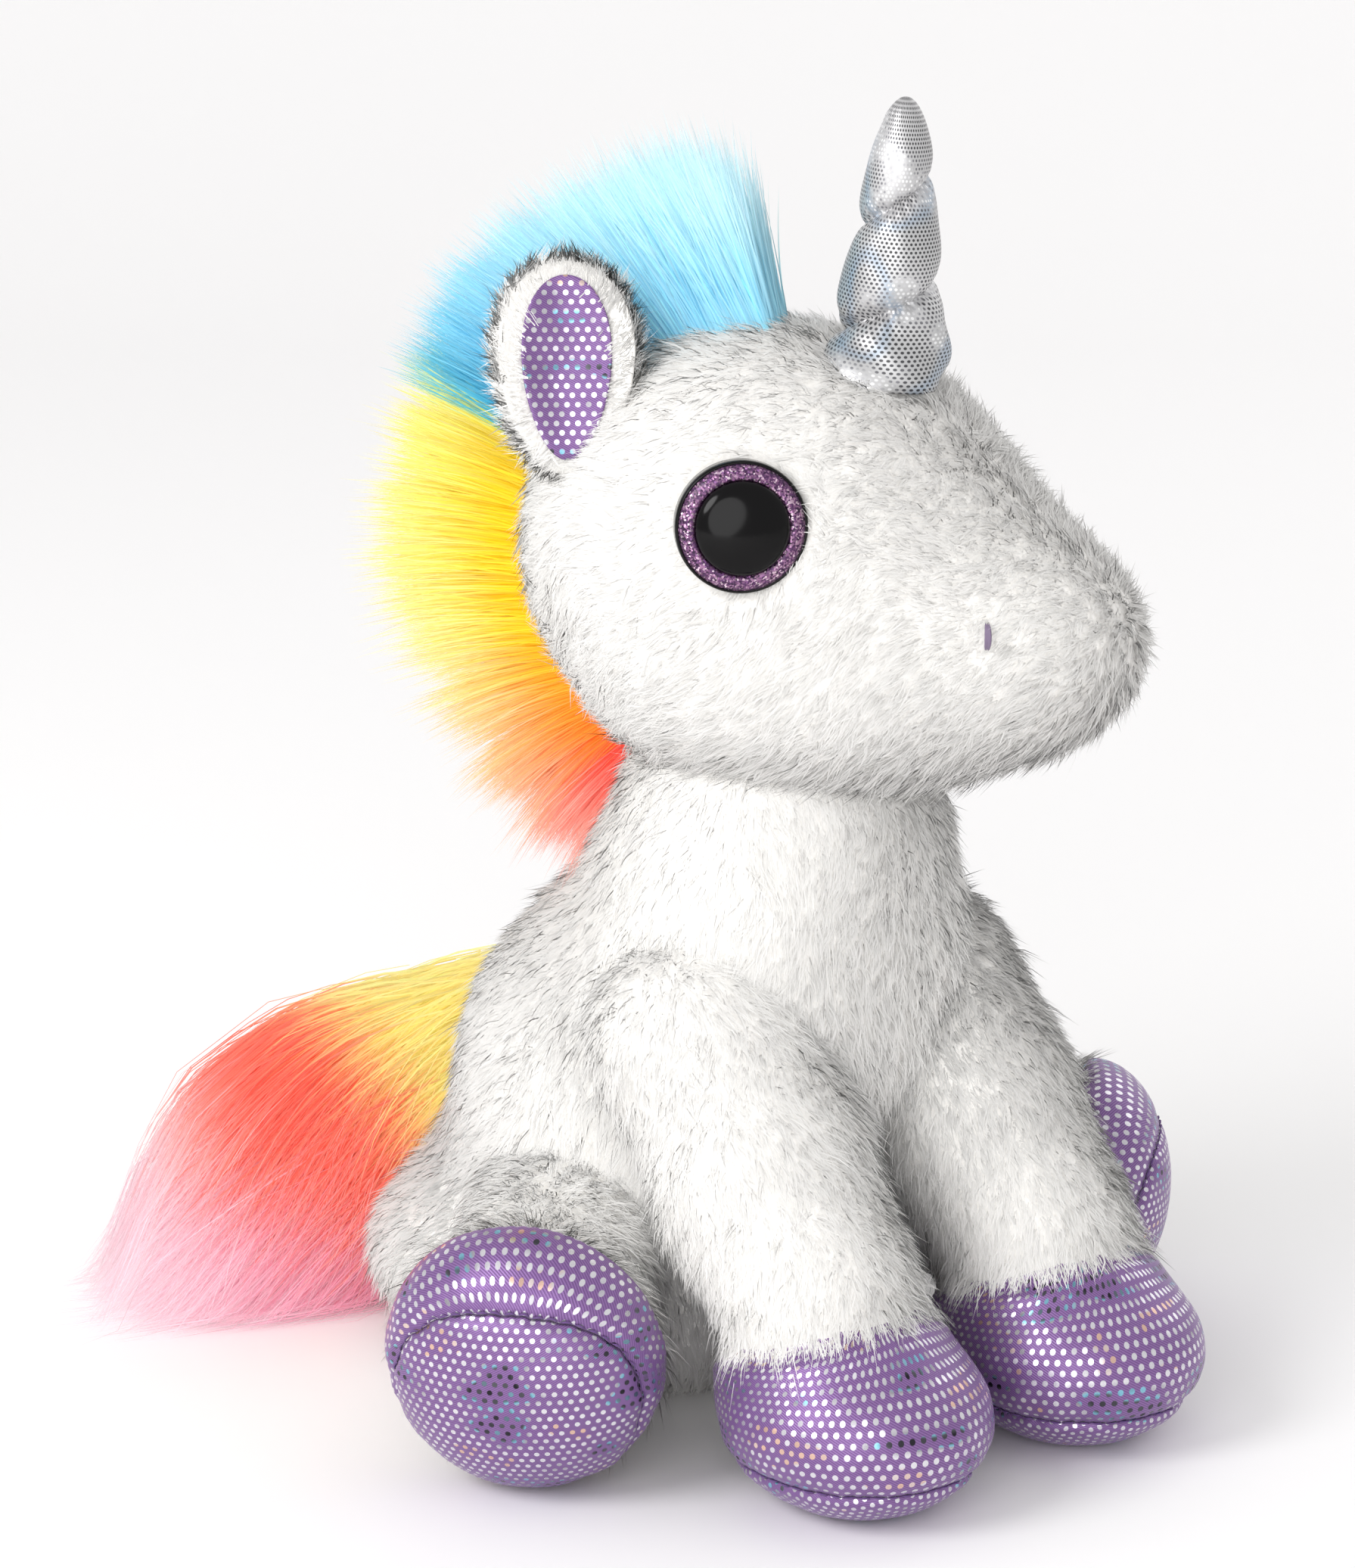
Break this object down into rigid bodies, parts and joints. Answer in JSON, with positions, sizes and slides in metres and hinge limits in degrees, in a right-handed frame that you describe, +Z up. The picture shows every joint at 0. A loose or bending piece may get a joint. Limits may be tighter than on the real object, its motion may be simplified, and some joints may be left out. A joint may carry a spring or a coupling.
{
  "type": "plush unicorn toy",
  "caption": "Sitting plush unicorn with jointed head, legs, tail, ears and horn, foil-dotted hooves and a long rainbow mane and tail.",
  "frame": {"origin": "on the floor, in the flat seat below the middle of the rump", "axes": "+Z up; -Y is the way the body faces; +X is its left side"},
  "size_m": [0.2156, 0.2305, 0.2937],
  "materials": {
    "white_plush": "short, soft plush pile",
    "fibre_filling": "loose polyester fibre",
    "bean_pouch": "plain cotton pouch of plastic pellets",
    "lilac_foil_cloth": "woven cloth with round foil dots",
    "silver_foil_cloth": "knitted cloth with a silver foil film",
    "black_plastic": "polished",
    "lilac_glitter": "glitter under a clear face",
    "white_plastic": "moulded, semi-matt",
    "lilac_thread": "embroidery thread",
    "mane_pile": "long combed pile dyed sky blue, yellow, orange and coral",
    "tail_pile": "long combed pile dyed yellow, coral and pink",
    "backing_cloth": "plain knitted backing"
  },
  "bodies": {
    "torso": {"torso_cover": "white_plush", "torso_filling": "fibre_filling", "bean_bag": "bean_pouch"},
    "neck": {"neck_cover": "white_plush", "neck_filling": "fibre_filling"},
    "head": {"head_cover": "white_plush", "head_filling": "fibre_filling", "nostril_right_stitch": "lilac_thread", "nostril_left_stitch": "lilac_thread", "mane_backing": "backing_cloth", "mane_pile": "mane_pile", "eye_right_cup": "black_plastic", "eye_right_glitter": "lilac_glitter", "eye_right_pupil": "black_plastic", "eye_right_washer": "white_plastic", "eye_left_cup": "black_plastic", "eye_left_glitter": "lilac_glitter", "eye_left_pupil": "black_plastic", "eye_left_washer": "white_plastic"},
    "horn": {"horn_cover": "silver_foil_cloth", "horn_filling": "fibre_filling"},
    "ear_right": {"ear_right_back": "white_plush", "ear_right_lining": "lilac_foil_cloth"},
    "ear_left": {"ear_left_back": "white_plush", "ear_left_lining": "lilac_foil_cloth"},
    "front_leg_right": {"front_leg_right_cover": "white_plush", "front_leg_right_hoof_upper": "lilac_foil_cloth", "front_leg_right_hoof_sole": "lilac_foil_cloth", "front_leg_right_filling": "fibre_filling"},
    "front_leg_left": {"front_leg_left_cover": "white_plush", "front_leg_left_hoof_upper": "lilac_foil_cloth", "front_leg_left_hoof_sole": "lilac_foil_cloth", "front_leg_left_filling": "fibre_filling"},
    "rear_leg_right": {"rear_leg_right_cover": "white_plush", "rear_leg_right_hoof_upper": "lilac_foil_cloth", "rear_leg_right_hoof_sole": "lilac_foil_cloth", "rear_leg_right_filling": "fibre_filling"},
    "rear_leg_left": {"rear_leg_left_cover": "white_plush", "rear_leg_left_hoof_upper": "lilac_foil_cloth", "rear_leg_left_hoof_sole": "lilac_foil_cloth", "rear_leg_left_filling": "fibre_filling"},
    "tail": {"tail_pile": "tail_pile", "tail_core": "backing_cloth"}
  },
  "joints": [
    {"name": "neck_turn", "type": "hinge", "parent": "torso", "child": "neck", "pos_m": [0, -0.047, 0.134], "axis": [0, 0, 1], "range_deg": [-45, 15], "stiffness_Nm_per_rad": 0.3},
    {"name": "head_nod", "type": "hinge", "parent": "neck", "child": "head", "pos_m": [0, -0.047, 0.134], "axis": [0.9063, 0.4226, 0], "range_deg": [-4, 8], "stiffness_Nm_per_rad": 0.6},
    {"name": "horn_flex", "type": "hinge", "parent": "head", "child": "horn", "pos_m": [0.00996, -0.06835, 0.23978], "axis": [0.9063, 0.4226, 0], "range_deg": [-8, 8], "stiffness_Nm_per_rad": 0.05},
    {"name": "ear_right_fold", "type": "hinge", "parent": "head", "child": "ear_right", "pos_m": [-0.03534, -0.02614, 0.22912], "axis": [-0.6216, -0.7833, 0], "range_deg": [-12, 12], "stiffness_Nm_per_rad": 0.005},
    {"name": "ear_left_fold", "type": "hinge", "parent": "head", "child": "ear_left", "pos_m": [0.00674, -0.00652, 0.22912], "axis": [-0.9996, 0.0273, 0], "range_deg": [-12, 12], "stiffness_Nm_per_rad": 0.005},
    {"name": "front_leg_right_swing", "type": "hinge", "parent": "torso", "child": "front_leg_right", "pos_m": [-0.03, -0.055, 0.09], "axis": [1, 0, 0], "range_deg": [-12, 2], "stiffness_Nm_per_rad": 1},
    {"name": "front_leg_left_swing", "type": "hinge", "parent": "torso", "child": "front_leg_left", "pos_m": [0.03, -0.055, 0.09], "axis": [1, 0, 0], "range_deg": [-12, 2], "stiffness_Nm_per_rad": 1},
    {"name": "rear_leg_right_splay", "type": "hinge", "parent": "torso", "child": "rear_leg_right", "pos_m": [-0.038, -0.021, 0.03921], "axis": [0, 0, 1], "range_deg": [-10, 2], "stiffness_Nm_per_rad": 0.5},
    {"name": "rear_leg_left_splay", "type": "hinge", "parent": "torso", "child": "rear_leg_left", "pos_m": [0.038, -0.021, 0.03921], "axis": [0, 0, 1], "range_deg": [-2, 10], "stiffness_Nm_per_rad": 0.5},
    {"name": "tail_swing", "type": "hinge", "parent": "torso", "child": "tail", "pos_m": [0, 0.04037, 0.06517], "axis": [0, 0, 1], "range_deg": [-10, 14], "stiffness_Nm_per_rad": 0.05}
  ]
}
